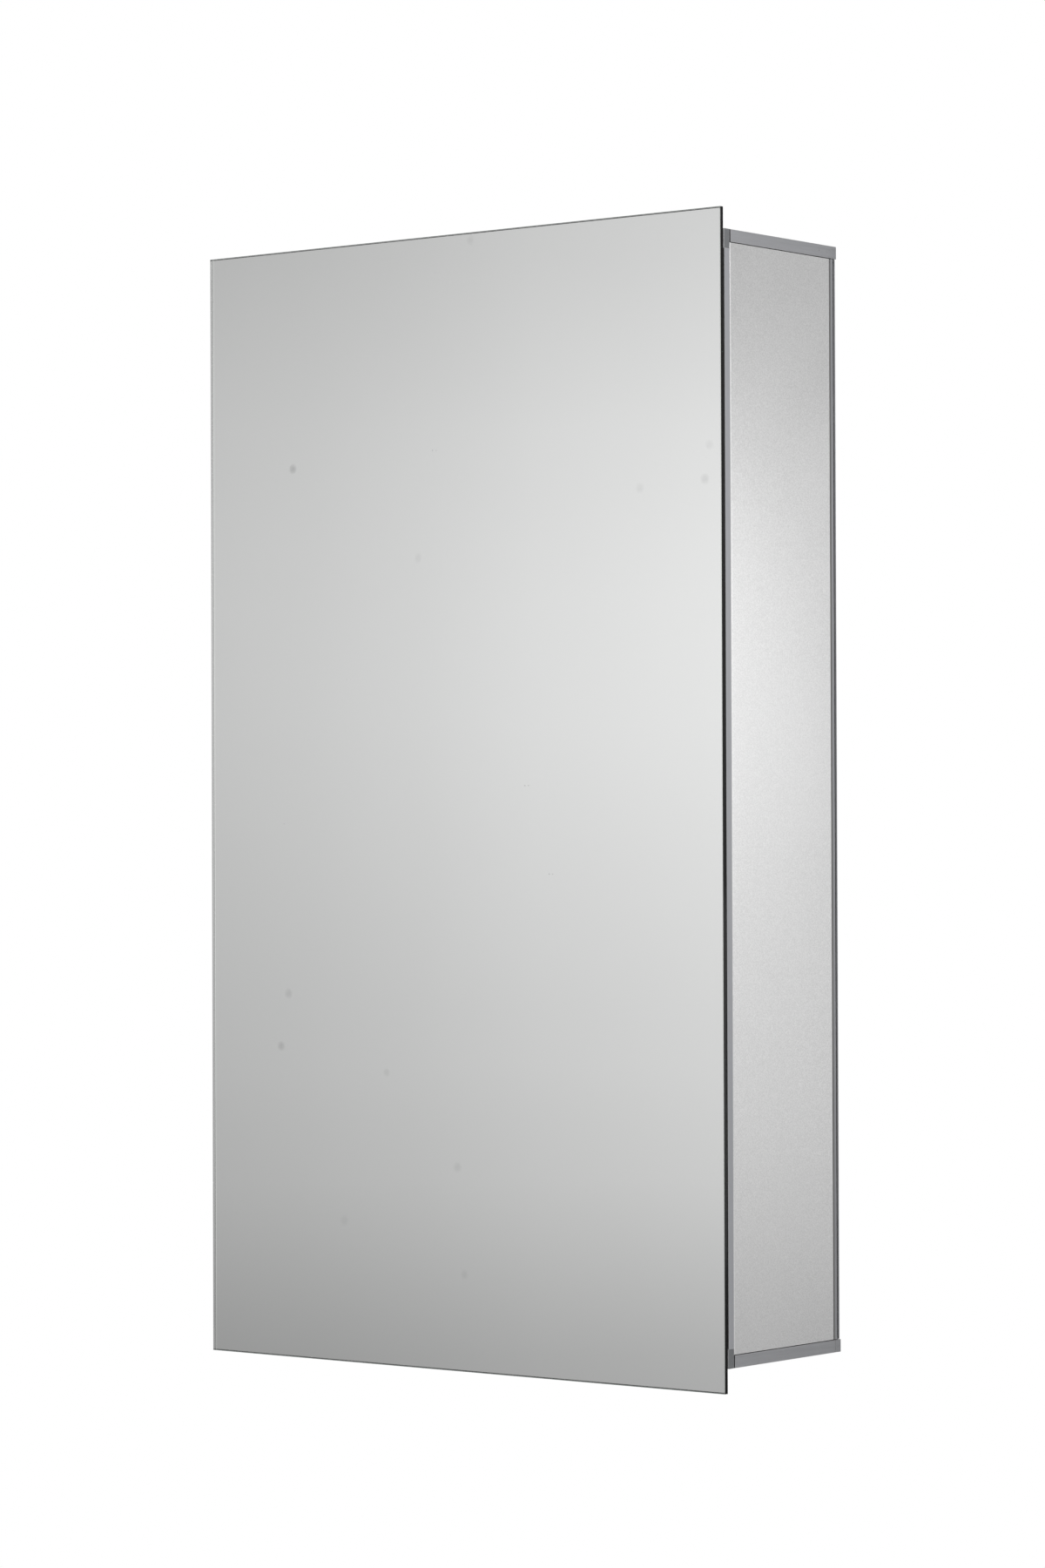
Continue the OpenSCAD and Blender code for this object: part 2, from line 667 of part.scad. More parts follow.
// Folded pan behind the door mirror: a floor, four walls and a hem round the rear mirror
module door_pan() {
    color("silver") difference() {
        translate([-pan_w / 2, leaf_back_y, -pan_h / 2]) cube([pan_w, hem_back_y - leaf_back_y, pan_h]);
        translate([pan_t - pan_w / 2, pan_floor_y, pan_t - pan_h / 2])
            cube([pan_w - 2 * pan_t, hem_y - pan_floor_y, pan_h - 2 * pan_t]);
        translate([hem_w - pan_w / 2, hem_y - tiny, hem_w - pan_h / 2])
            cube([pan_w - 2 * hem_w, pan_t + 1, pan_h - 2 * hem_w]);
        for (side = [-1, 1]) {
            translate([side * pan_w / 2, hem_back_y, -pan_h / 2 - 1])
                mirror([side > 0 ? 1 : 0, 0, 0]) mirror([0, 1, 0])
                    linear_extrude(pan_h + 2) corner_waste(pan_t);
            translate([-pan_w / 2 - 1, hem_back_y, side * pan_h / 2])
                mirror([0, 0, side > 0 ? 0 : 1]) rotate([0, 90, 0]) mirror([0, 1, 0])
                    linear_extrude(pan_w + 2) corner_waste(pan_t);
        }
        for (z = leaf_rivet_z) translate([-x_of(leaf_rivet_s), leaf_back_y - 1, z]) rotate([-90, 0, 0])
            cylinder(h = pan_t + 2, r = rivet_hole_r);
        for (z = strike_rivet_z)
            translate([pan_w / 2 - 2, strike_rivet_y, z]) rotate([0, 90, 0])
                cylinder(h = 4, r = strike_hole_r);
    }
    color("silver") for (x = [-bead_x, bead_x]) difference() {
        translate([x, pan_floor_y, bead_end - pan_h / 2]) cylinder(h = pan_h - 2 * bead_end, r = bead_r);
        translate([x - 3, leaf_back_y - 3 + pan_t / 2, -pan_h / 2]) cube([6, 3, pan_h]);
    }
}

module door_rear_mirror() {
    w = pan_w - 2 * (pan_t + rear_glass_play);
    h = pan_h - 2 * (pan_t + rear_glass_play);
    color("lightblue") translate([0, rear_glass_y + rear_glass_t, 0]) mirror([0, 1, 0])
        glass_plate(w, h, rear_glass_t);
}

// Foam strips between the pan floor and the rear mirror
module door_rear_pads() {
    pad_h = pan_h - 2 * pad_end;
    color("dimgray") for (x = [-1, 0, 1] * (pan_w / 2 - pad_in))
        translate([x - strip_w / 2, pan_floor_y, -pad_h / 2]) cube([strip_w, pad_t, pad_h]);
}

// Steel angle on the pan's closing edge for the catch magnets
module strike_plates() {
    x0 = pan_w / 2 + strike_out;
    color("gray") for (side = [-1, 1]) translate([0, 0, side * catch_z - strike_h / 2]) difference() {
        union() {
            translate([pan_w / 2, leaf_back_y + 1, 0])
                cube([strike_out, strike_back_y - leaf_back_y - 1, strike_h]);
            translate([x0 - strike_reach, hem_back_y, 0]) cube([strike_reach, strike_t, strike_h]);
        }
        for (z = [strike_rivet_end, strike_h - strike_rivet_end])
            translate([pan_w / 2 - 1, strike_rivet_y, z]) rotate([0, 90, 0])
                cylinder(h = strike_out + 2, r = strike_hole_r);
        translate([x0, strike_back_y, -1]) mirror([1, 0, 0]) mirror([0, 1, 0])
            linear_extrude(strike_h + 2) corner_waste(0.6);
    }
}

module strike_rivets() {
    color("lightgray") for (z = strike_rivet_z)
        translate([pan_w / 2 + strike_out, strike_rivet_y, z]) rotate([0, -90, 0]) {
            translate([0, 0, -strike_head_h / 2])
                cylinder(h = strike_out + pan_t + strike_head_h / 2, r = strike_rivet_r);
            translate([0, 0, -strike_head_h]) cylinder(h = strike_head_h, r1 = 1.4, r2 = 1.9);
        }
}

// Catch body: a block on a flange with two ears, hollowed from the front for the magnet
module catch_housings() {
    x1 = x_of(opening_s);
    color("white") for (side = [-1, 1]) translate([0, 0, side * catch_z]) difference() {
        union() {
            translate([x1 - catch_flange_t, catch_front_y, -catch_h / 2 - catch_ear])
                cube([catch_flange_t, catch_d, catch_h + 2 * catch_ear]);
            translate([x1 - catch_w, catch_front_y, -catch_h / 2]) cube([catch_w, catch_d, catch_h]);
        }
        translate([x1 - catch_w + magnet_wall, catch_front_y - 1, magnet_wall - catch_h / 2])
            cube([catch_w - 2 * magnet_wall, catch_d - magnet_wall + 1, catch_h - 2 * magnet_wall]);
        for (ear = [-1, 1]) translate([x1 + 1, catch_screw_y(), ear * catch_screw_at])
            rotate([0, -90, 0]) cylinder(h = catch_flange_t + 2, r = catch_hole_r + 0.1);
    }
}

// Magnet between two pole plates that stand a little proud
module catch_magnets() {
    x0 = x_of(opening_s) - catch_w + magnet_wall + seat;
    w = catch_w - 2 * (magnet_wall + seat);
    h = catch_h - 2 * (magnet_wall + seat);
    pole_t = 1.5;
    color("darkslategray") for (side = [-1, 1])
        translate([x0, magnet_front_y, side * catch_z - h / 2]) {
            translate([0, 0.6, 0]) cube([w, catch_d - magnet_wall - 0.6, h]);
            for (x = [0, w - pole_t]) translate([x, 0, 0]) cube([pole_t, catch_d - magnet_wall, h]);
        }
}

module catch_screws() {
    color("lightgray") for (side = [-1, 1], ear = [-1, 1])
        translate([x_of(opening_s) - catch_flange_t, catch_screw_y(),
                   side * catch_z + ear * catch_screw_at])
            rotate([0, 90, 0])
                dome_screw(catch_flange_t + frame_wall + inner_t + 2, catch_hole_r - 0.05, 2.8, 1.6);
}

// Blind rivets that hold the inner box to the legs of the frame
module frame_rivets() {
    shank = frame_wall + inner_t + 1;
    color("lightgray") {
        for (side = [-1, 1], z = stile_rivet_z)
            translate([side * x_of(opening_s), rivet_y(), z]) rotate([0, side * 90, 0])
                blind_rivet(shank);
        for (side = [-1, 1], x = rail_rivet_x)
            translate([x, rivet_y(), side * z_of(opening_s)]) rotate([side > 0 ? 0 : 180, 0, 0])
                blind_rivet(shank);
    }
}

module blind_rivet(shank) {
    difference() {
        union() {
            translate([0, 0, -rivet_head_h / 2]) cylinder(h = shank + rivet_head_h / 2, r = rivet_r);
            translate([0, 0, -rivet_head_h]) cylinder(h = rivet_head_h, r1 = 2, r2 = rivet_head_r);
        }
        translate([0, 0, -rivet_head_h - tiny]) cylinder(h = 0.6, r = 0.9);
    }
}

// Clear stick-on bumpers on the closing stile
module closing_bumpers() {
    crown = 0.4;
    h = door_gap - bumper_air - crown;
    color("whitesmoke") for (side = [-1, 1])
        translate([x_of(bumper_s), frame_front_y, side * (stile_len / 2 - bumper_inset)])
            rotate([90, 0, 0]) {
                cylinder(h = h, r = bumper_r);
                translate([0, 0, h - tiny]) cylinder(h = crown + tiny, r1 = bumper_r, r2 = bumper_r - 0.8);
            }
}

side_panel(-1);  // left_side_panel
side_panel(1);  // right_side_panel
cap(1, true);  // top_cap
cap(-1, false);  // bottom_cap
hinge_stile();
closing_stile();
rail(1);  // top_rail
rail(-1);  // bottom_rail
corner_joiner(-1, 1, stile_hollow_s);  // top_left_corner
corner_joiner(1, 1, frame_wall);  // top_right_corner
corner_joiner(-1, -1, stile_hollow_s);  // bottom_left_corner
corner_joiner(1, -1, frame_wall);  // bottom_right_corner
rear_profile(-1);  // left_rear_profile
rear_profile(1);  // right_rear_profile
inner_wall(-1);  // left_inner_wall
inner_wall(1);  // right_inner_wall
inner_lid(1);  // inner_top
inner_lid(-1);  // inner_bottom
back_panel();
back_mirror();
back_mirror_tape();
shelf(shelf_gap / 2);  // upper_shelf
shelf(-shelf_gap / 2);  // lower_shelf
shelf_supports(shelf_gap / 2);  // upper_shelf_supports
shelf_supports(-shelf_gap / 2);  // lower_shelf_supports
hinge_pin();
catch_housings();
catch_magnets();
catch_screws();
cap_screws();
frame_rivets();
closing_bumpers();
door_mirror();
door_tape();
door_pan();
door_rear_mirror();
door_rear_pads();
hinge_leaf();
leaf_rivets();
strike_plates();
strike_rivets();
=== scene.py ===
import math

import bmesh
import bpy
from mathutils import Matrix, Vector


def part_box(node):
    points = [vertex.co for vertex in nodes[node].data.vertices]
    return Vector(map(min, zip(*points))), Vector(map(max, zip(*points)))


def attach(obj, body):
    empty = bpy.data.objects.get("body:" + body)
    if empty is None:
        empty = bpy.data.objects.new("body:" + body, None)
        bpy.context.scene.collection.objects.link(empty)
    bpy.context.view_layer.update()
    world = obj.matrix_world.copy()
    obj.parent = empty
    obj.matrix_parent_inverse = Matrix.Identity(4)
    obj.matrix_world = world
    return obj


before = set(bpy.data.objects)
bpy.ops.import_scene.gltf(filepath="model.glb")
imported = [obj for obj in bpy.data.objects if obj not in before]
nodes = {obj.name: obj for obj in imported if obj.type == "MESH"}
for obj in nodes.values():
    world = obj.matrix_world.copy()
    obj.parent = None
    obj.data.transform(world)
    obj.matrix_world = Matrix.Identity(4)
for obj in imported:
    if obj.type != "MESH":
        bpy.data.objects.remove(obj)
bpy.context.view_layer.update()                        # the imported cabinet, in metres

scene = bpy.context.scene
scene.view_settings.view_transform = "Standard"


# Node helpers: settings are node properties, inputs hold plain values or sockets to link

def addNode(tree, kind, inputs=None, **settings):
    node = tree.nodes.new(kind)
    for name, value in settings.items():
        setattr(node, name, value)
    for socket, value in (inputs or {}).items():
        if isinstance(value, bpy.types.NodeSocket):
            tree.links.new(value, node.inputs[socket])
        else:
            node.inputs[socket].default_value = value
    return node


def maths(tree, operation, a, b=0.0):
    return addNode(tree, "ShaderNodeMath", {0: a, 1: b}, operation=operation).outputs[0]


def vectorMaths(tree, operation, a, b=(0, 0, 0)):       # puts out "Vector" and "Value"
    return addNode(tree, "ShaderNodeVectorMath", {0: a, 1: b}, operation=operation).outputs


def stretch(tree, vector, scale):
    return vectorMaths(tree, "MULTIPLY", vector, scale)["Vector"]


def split(tree, vector):                 # puts out "X", "Y" and "Z"
    return addNode(tree, "ShaderNodeSeparateXYZ", {0: vector}).outputs


def rescale(tree, value, limits, results=(0.0, 1.0)):   # the limits become the results
    node = addNode(tree, "ShaderNodeMapRange", {
        "Value": value, "From Min": limits[0], "From Max": limits[1],
        "To Min": results[0], "To Max": results[1]})
    return node.outputs["Result"]


def spread(tree, mask, results):         # a mask from 0 to 1 becomes the results
    return rescale(tree, mask, (0.0, 1.0), results)


def mixColour(tree, factor, a, b, blend="MIX"):         # 6, 7 and 2 are the node's colour sockets
    node = addNode(tree, "ShaderNodeMix", {0: factor, 6: a, 7: b}, data_type="RGBA", blend_type=blend)
    return node.outputs[2]


def layOver(tree, base, top, mask, share):      # a share of the top colour where the mask is
    return mixColour(tree, maths(tree, "MULTIPLY", mask, share), base, top)


def noise(tree, vector, scale, detail, roughness=0.5):
    node = addNode(tree, "ShaderNodeTexNoise", {
        "Vector": vector, "Scale": scale, "Detail": detail, "Roughness": roughness})
    return node.outputs["Fac"]


def randomCells(tree, vector, scale):    # distance from the cell's middle, and its random colour
    cells = addNode(tree, "ShaderNodeTexVoronoi", {"Vector": vector, "Scale": scale}).outputs
    pick = addNode(tree, "ShaderNodeSeparateColor", {"Color": cells["Color"]}).outputs
    return cells["Distance"], pick


def levels(tree, factor, stops, smooth="CARDINAL"):
    ramp = addNode(tree, "ShaderNodeValToRGB", {"Fac": factor})
    ramp.color_ramp.interpolation = smooth
    elements = ramp.color_ramp.elements
    while len(elements) < len(stops):
        elements.new(0.5)
    for element, (place, level) in zip(elements, stops):
        element.position = place
        element.color = grey(level)
    return ramp.outputs["Color"]


def grey(level):
    return (level, level, level, 1)


def bluish(level, more):
    return (level * (1 - more / 4), level, level * (1 + more), 1)


# Shared effects, each a node group that puts out masks. Scale counts per metre. In their
# dictionaries a noise is its detail and roughness, and a range is what becomes 0 to 1

def newGroup(name, inputs, outputs):
    group = bpy.data.node_groups.new(name, "ShaderNodeTree")
    for label, value in inputs.items():
        kind = "NodeSocketFloat" if isinstance(value, float) else "NodeSocketVector"
        socket = group.interface.new_socket(name=label, in_out="INPUT", socket_type=kind)
        socket.default_value = value
    for label in outputs:
        group.interface.new_socket(name=label, in_out="OUTPUT", socket_type="NodeSocketFloat")
    return group, addNode(group, "NodeGroupInput").outputs, addNode(group, "NodeGroupOutput").inputs


grainMix = {"coarseNoise": (2.0, 0.6), "coarseShare": 0.7, "fineness": 2.3, "fineNoise": (1.0, 0.5),
            "fineShare": 0.3, "grainRange": (0.32, 0.68), "speckleRange": (0.38, 0.66)}


def buildGrain():                        # fine pebbled grain of a pressed or moulded surface
    look = grainMix
    group, given, out = newGroup("surfaceGrain", {"Vector": (0, 0, 0), "Scale": 700.0},
                                 ["Grain", "Speckle"])
    finer = maths(group, "MULTIPLY", given["Scale"], look["fineness"])
    coarse = noise(group, given["Vector"], given["Scale"], *look["coarseNoise"])
    fine = noise(group, given["Vector"], finer, *look["fineNoise"])
    both = maths(group, "ADD", maths(group, "MULTIPLY", coarse, look["coarseShare"]),
                 maths(group, "MULTIPLY", fine, look["fineShare"]))
    group.links.new(rescale(group, both, look["grainRange"]), out["Grain"])
    group.links.new(rescale(group, fine, look["speckleRange"]), out["Speckle"])
    return group


lineMix = {"lineNoise": (3.0, 0.65), "bandScale": 0.17, "bandNoise": (1.0, 0.5), "range": (0.3, 0.7)}


def buildDrawLines():                    # lines of rolling or drawing, along the least Stretch
    look = lineMix
    group, given, out = newGroup("drawLines", {"Vector": (0, 0, 0), "Stretch": (900, 900, 6)},
                                 ["Lines", "Bands"])
    placed = stretch(group, given["Vector"], given["Stretch"])
    lines = noise(group, placed, 1.0, *look["lineNoise"])
    bands = noise(group, placed, look["bandScale"], *look["bandNoise"])
    group.links.new(rescale(group, lines, look["range"]), out["Lines"])
    group.links.new(rescale(group, bands, look["range"]), out["Bands"])
    return group


cloudMix = {"cloudNoise": (3.0, 0.55), "cloudRange": (0.3, 0.7), "wipeStretch": (5.0, 5.0, 1.4),
            "wipeNoise": (4.0, 0.6), "wipeRange": (0.52, 0.75)}


def buildClouds():                       # slow drift of tone and gloss, with faint wipe marks
    look = cloudMix
    group, given, out = newGroup("softClouds", {"Vector": (0, 0, 0), "Scale": 9.0},
                                 ["Clouds", "Wipes"])
    drift = noise(group, given["Vector"], given["Scale"], *look["cloudNoise"])
    wiped = stretch(group, given["Vector"], look["wipeStretch"])
    wipes = noise(group, wiped, given["Scale"], *look["wipeNoise"])
    group.links.new(rescale(group, drift, look["cloudRange"]), out["Clouds"])
    group.links.new(rescale(group, wipes, look["wipeRange"]), out["Wipes"])
    return group


edgeMix = {"samples": 4, "range": (0.99, 0.8)}  # cosine between the flat and the bevelled normal


def buildEdgeRub():                      # mask of the outer edges, where a coating is worn bright and a painted highlight is laid
    look = edgeMix
    group, given, out = newGroup("edgeRub", {"Reach": 0.0006}, ["Rub"])
    sharp = addNode(group, "ShaderNodeNewGeometry").outputs["Normal"]
    bevel = addNode(group, "ShaderNodeBevel", {"Radius": given["Reach"]}, samples=look["samples"])
    same = vectorMaths(group, "DOT_PRODUCT", sharp, bevel.outputs["Normal"])["Value"]
    group.links.new(rescale(group, same, look["range"]), out["Rub"])
    return group


dustMix = {"radii": (0.02, 0.05)}        # as a share of the space between the specks


def buildDust():                         # sparse specks of dust, of mixed sizes
    group, given, out = newGroup("dustSpecks", {"Vector": (0, 0, 0), "Scale": 90.0, "Share": 0.2},
                                 ["Dust"])
    away, pick = randomCells(group, given["Vector"], given["Scale"])
    inside = maths(group, "LESS_THAN", away, spread(group, pick["Green"], dustMix["radii"]))
    chosen = maths(group, "LESS_THAN", pick["Red"], given["Share"])
    group.links.new(maths(group, "MULTIPLY", inside, chosen), out["Dust"])
    return group


grain = buildGrain()
drawLines = buildDrawLines()
clouds = buildClouds()
edgeRub = buildEdgeRub()
dust = buildDust()
print("effects built:", len(bpy.data.node_groups))


# Material helpers. In a look, rubAndHighlight is the bright wear and painted highlight along edges, and
# gloss holds two roughnesses

def newMaterial(name, constants=None):
    material = bpy.data.materials.new(name)
    material.use_nodes = True
    tree = material.node_tree
    shader = tree.nodes["Principled BSDF"]
    for socket, value in (constants or {}).items():
        shader.inputs[socket].default_value = value
    return material, tree, shader, addNode(tree, "ShaderNodeTexCoord").outputs


def effect(tree, group, **inputs):
    return addNode(tree, "ShaderNodeGroup", inputs, node_tree=group).outputs


def applyFinish(tree, shader, colour, roughness, height=None, depth=0.0):
    tree.links.new(colour, shader.inputs["Base Color"])
    tree.links.new(roughness, shader.inputs["Roughness"])
    if height is not None:
        bump = addNode(tree, "ShaderNodeBump", {"Height": height, "Distance": depth})
        tree.links.new(bump.outputs["Normal"], shader.inputs["Normal"])


normalLimits = {"flat": 0.9, "rounded": (1.1, 1.35)}


def faceMask(tree, place, axis):         # 1 where the surface faces along the axis, either way
    facing = maths(tree, "ABSOLUTE", split(tree, place["Normal"])[axis])
    return maths(tree, "GREATER_THAN", facing, normalLimits["flat"])


def roundedEdge(tree, place):            # 1 half way round a rounded edge, 0 on flat faces
    parts = split(tree, place["Normal"])
    total = maths(tree, "ABSOLUTE", parts["X"])
    for axis in "YZ":
        total = maths(tree, "ADD", total, maths(tree, "ABSOLUTE", parts[axis]))
    return rescale(tree, total, normalLimits["rounded"])


def rubAndHighlightEdges(tree, base, rubAndHighlight, place=None):      # with a place, rounded edges get the painted highlight too
    # edges lightened towards the given tone: wear and a painted highlight
    mask = effect(tree, edgeRub, Reach=rubAndHighlight["reach"])["Rub"]
    if place is not None:
        mask = maths(tree, "MAXIMUM", mask, roundedEdge(tree, place))
    return layOver(tree, base, grey(rubAndHighlight["tone"]), mask, rubAndHighlight["share"])


def drawnMetal(tree, lines, look, tone):        # a little darker and lighter along the lines
    dark, light = tone * (1 - look["streak"]), tone * (1 + look["streak"])
    return mixColour(tree, lines, bluish(dark, look["blue"]), bluish(light, look["blue"]))


# Outside of the body

sideSheetLook = {
    "tone": 0.87, "toneDrift": 0.02, "speckle": 0.15, "grainScale": 850.0, "grainDepth": 0.000014,
    "cloudScale": 7.0, "cloudShare": 0.35, "gloss": (0.30, 0.36),
    "rubAndHighlight": {"reach": 0.0005, "share": 0.5, "tone": 0.93},
}


def sideSheet():                         # satin sheet of the sides, with fine specks
    look = sideSheetLook
    material, tree, shader, place = newMaterial("satinSideSheet", {"Metallic": 1.0})
    pebble = effect(tree, grain, Vector=place["Object"], Scale=look["grainScale"])
    drift = effect(tree, clouds, Vector=place["Object"], Scale=look["cloudScale"])["Clouds"]
    dark = grey(look["tone"] * (1 - look["toneDrift"] - look["speckle"]))
    light = grey(look["tone"] * (1 + look["toneDrift"]))
    flecked = mixColour(tree, pebble["Speckle"], dark, light)
    clouded = layOver(tree, flecked, grey(look["tone"]), drift, look["cloudShare"])
    applyFinish(tree, shader, rubAndHighlightEdges(tree, clouded, look["rubAndHighlight"]), spread(tree, drift, look["gloss"]),
                pebble["Grain"], look["grainDepth"])
    return material


capCoatLook = {
    "tone": 0.325, "streak": 0.07, "blue": 0.045, "lineStretch": (500, 14, 620),
    "grainScale": 1300.0, "grainDepth": 0.000012, "gloss": (0.42, 0.52),
    "rubAndHighlight": {"reach": 0.0006, "share": 0.45, "tone": 0.62},
    # painted light and shade: share of the tone from the front edge (0) to the wall (1), lighter at the
    # front and darker towards the wall
    "fade": [(0.0, 1.06), (0.7, 0.98), (0.91, 0.95), (0.95, 0.87), (1.0, 0.84)],
    "shadedFrontEnd": 0.0001, "frontShadeTone": 0.03,      # painted shade on the end face, which lies in the dark behind the glass
}


def capCoat():                           # grey coat of the top and bottom caps, with painted shade towards the wall and on the front end
    look = capCoatLook
    material, tree, shader, place = newMaterial("greyCapCoat", {"Metallic": 0.15,
                                                                "Specular IOR Level": 0.5})
    lines = effect(tree, drawLines, Vector=place["Object"], Stretch=look["lineStretch"])["Lines"]
    pebble = effect(tree, grain, Vector=place["Object"], Scale=look["grainScale"])["Grain"]
    # wear and painted highlight along the edges
    rubbedAndHighlit = rubAndHighlightEdges(tree, drawnMetal(tree, lines, look, look["tone"]), look["rubAndHighlight"])
    # painted light and shade: the tone is lighter at the front and darker towards the wall
    depth = split(tree, place["Object"])["Y"]
    front, wall = (corner.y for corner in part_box("top_cap"))
    fade = levels(tree, rescale(tree, depth, (front, wall)), look["fade"], "LINEAR")
    shadedByDepth = mixColour(tree, 1.0, rubbedAndHighlit, fade, "MULTIPLY")
    # painted shade on the front end face
    shadedFront = maths(tree, "LESS_THAN", depth, front + look["shadedFrontEnd"])
    applyFinish(tree, shader, mixColour(tree, shadedFront, shadedByDepth, grey(look["frontShadeTone"])),
                spread(tree, pebble, look["gloss"]), pebble, look["grainDepth"])
    return material


frameLook = {
    "tone": 0.40, "rearTone": 0.305, "streak": 0.06, "blue": 0.055,
    "alongScale": 5.0, "acrossScale": 950.0, "lineDepth": 0.000006,
    "gloss": (0.36, 0.46), "cloudScale": 12.0, "cloudGloss": 0.04,
    "rubAndHighlight": {"reach": 0.0005, "share": 0.6, "tone": 0.8},
    "grooveSunk": 0.0003, "grooveShadeTone": 0.01,   # painted shade in the rear groove, from this far below the side
    "jointLine": 0.0009, "jointShadeTone": 0.21,     # painted shade along its joint with the side panel
    "gapLine": 0.0008, "gapFacing": -0.35, "gapShadeTone": 0.02,     # painted shade on the front, behind the glass edge
}


def rearShade(tree, place, tone):        # rear profile: painted shade in its groove and along its joint beside the sheet
    look = frameLook
    at = split(tree, place["Object"])
    sunk = maths(tree, "LESS_THAN", maths(tree, "ABSOLUTE", at["X"]),
                 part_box("right_rear_profile")[1].x - look["grooveSunk"])
    groove = maths(tree, "MULTIPLY", sunk, faceMask(tree, place, "X"))
    joint = maths(tree, "LESS_THAN", at["Y"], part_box("right_side_panel")[1].y + look["jointLine"])
    shaded = mixColour(tree, joint, tone, grey(look["jointShadeTone"]))
    return mixColour(tree, groove, shaded, grey(look["grooveShadeTone"]))


def gapShade(tree, place, tone):         # stiles: painted shade, a dark outer line behind the edge of the glass
    look = frameLook
    outer = maths(tree, "GREATER_THAN", maths(tree, "ABSOLUTE", split(tree, place["Object"])["X"]),
                  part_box("closing_stile")[1].x - look["gapLine"])
    forward = maths(tree, "LESS_THAN", split(tree, place["Normal"])["Y"], look["gapFacing"])
    return mixColour(tree, maths(tree, "MULTIPLY", outer, forward), tone, grey(look["gapShadeTone"]))


def anodised(name, along, tone, shade=None):    # satin extrusion, its lines run along the axis
    look = frameLook
    material, tree, shader, place = newMaterial(name, {"Metallic": 0.35})
    lineScale = [look["alongScale"] if axis == along else look["acrossScale"] for axis in "xyz"]
    lines = effect(tree, drawLines, Vector=place["Object"], Stretch=lineScale)
    drift = effect(tree, clouds, Vector=place["Object"], Scale=look["cloudScale"])["Clouds"]
    colour = rubAndHighlightEdges(tree, drawnMetal(tree, lines["Lines"], look, tone), look["rubAndHighlight"], place)
    if shade:
        colour = shade(tree, place, colour)
    roughness = maths(tree, "ADD", spread(tree, lines["Bands"], look["gloss"]),
                      maths(tree, "MULTIPLY", drift, look["cloudGloss"]))
    applyFinish(tree, shader, colour, roughness, lines["Lines"], look["lineDepth"])
    return material


cornerPlasticLook = {
    "dark": (0.138, 0.143, 0.15, 1), "light": (0.192, 0.198, 0.206, 1),
    "grainScale": 1500.0, "grainDepth": 0.00002, "gloss": (0.42, 0.56),
    "rubAndHighlight": {"reach": 0.0005, "share": 0.6, "tone": 0.34},
}


def cornerPlastic():                     # moulded joiner blocks, a shade darker than the metal
    look = cornerPlasticLook
    material, tree, shader, place = newMaterial("cornerPlastic", {"Specular IOR Level": 0.45})
    pebble = effect(tree, grain, Vector=place["Object"], Scale=look["grainScale"])
    mottled = mixColour(tree, pebble["Grain"], look["dark"], look["light"])
    applyFinish(tree, shader, rubAndHighlightEdges(tree, mottled, look["rubAndHighlight"], place),
                spread(tree, pebble["Speckle"], look["gloss"]), pebble["Grain"], look["grainDepth"])
    return material


# Inner box and door pan

innerSheetLook = {
    "dark": 0.86 * 0.95, "light": 0.86 * 1.05, "lineStretch": (650, 650, 5), "lineDepth": 0.000004,
    "wipeScale": 10.0, "gloss": (0.24, 0.34), "rubAndHighlight": {"reach": 0.0005, "share": 0.5, "tone": 0.92},
}


def innerSheet():                        # bright rolled sheet
    look = innerSheetLook
    material, tree, shader, place = newMaterial("brightInnerSheet", {"Metallic": 1.0})
    lines = effect(tree, drawLines, Vector=place["Object"], Stretch=look["lineStretch"])["Lines"]
    wipes = effect(tree, clouds, Vector=place["Object"], Scale=look["wipeScale"])["Wipes"]
    rolled = mixColour(tree, lines, grey(look["dark"]), grey(look["light"]))
    applyFinish(tree, shader, rubAndHighlightEdges(tree, rolled, look["rubAndHighlight"]), spread(tree, wipes, look["gloss"]),
                lines, look["lineDepth"])
    return material


backSheetLook = {
    "dark": (0.60, 0.61, 0.63, 1), "light": (0.74, 0.75, 0.76, 1), "flakeScale": 125.0,
    "waveScale": 110.0, "wave": (0.007, 0.007, 0.007), "cloudScale": 6.0, "cloudShare": 0.3,
    "cloudTone": 0.68, "gloss": (0.32, 0.5),
}


def backSheet():                         # zinc-coated steel with its spangle
    look = backSheetLook
    material, tree, shader, place = newMaterial("zincBackSheet", {"Metallic": 1.0})
    wave = addNode(tree, "ShaderNodeTexNoise", {"Vector": place["Object"], "Scale": look["waveScale"]})
    wave = stretch(tree, wave.outputs["Color"], look["wave"])
    wavy = vectorMaths(tree, "ADD", place["Object"], wave)["Vector"]
    pick = randomCells(tree, wavy, look["flakeScale"])[1]
    drift = effect(tree, clouds, Vector=place["Object"], Scale=look["cloudScale"])["Clouds"]
    spangle = mixColour(tree, pick["Red"], look["dark"], look["light"])
    clouded = layOver(tree, spangle, grey(look["cloudTone"]), drift, look["cloudShare"])
    applyFinish(tree, shader, clouded, spread(tree, pick["Green"], look["gloss"]))
    return material


# Glass. Its large faces are polished and a little dusty, its edges are ground

def glassSurface(tree, place, axis, look):      # masks of face and dust, roughness of edge and dust
    face = faceMask(tree, place, axis)
    specks = effect(tree, dust, Vector=place["Object"], Scale=look["dustScale"],
                    Share=look["dustShare"])["Dust"]
    ground = maths(tree, "MULTIPLY", maths(tree, "SUBTRACT", 1.0, face), look["edgeRough"])
    return face, specks, ground, maths(tree, "MULTIPLY", specks, look["dustRough"])


def wipedGlass(tree, place, ground, dusty, look):       # roughness with faint wipe marks
    wipes = effect(tree, clouds, Vector=place["Object"], Scale=look["wipeScale"])["Wipes"]
    polished = spread(tree, wipes, look["polish"])
    return maths(tree, "ADD", maths(tree, "MAXIMUM", polished, dusty), ground)


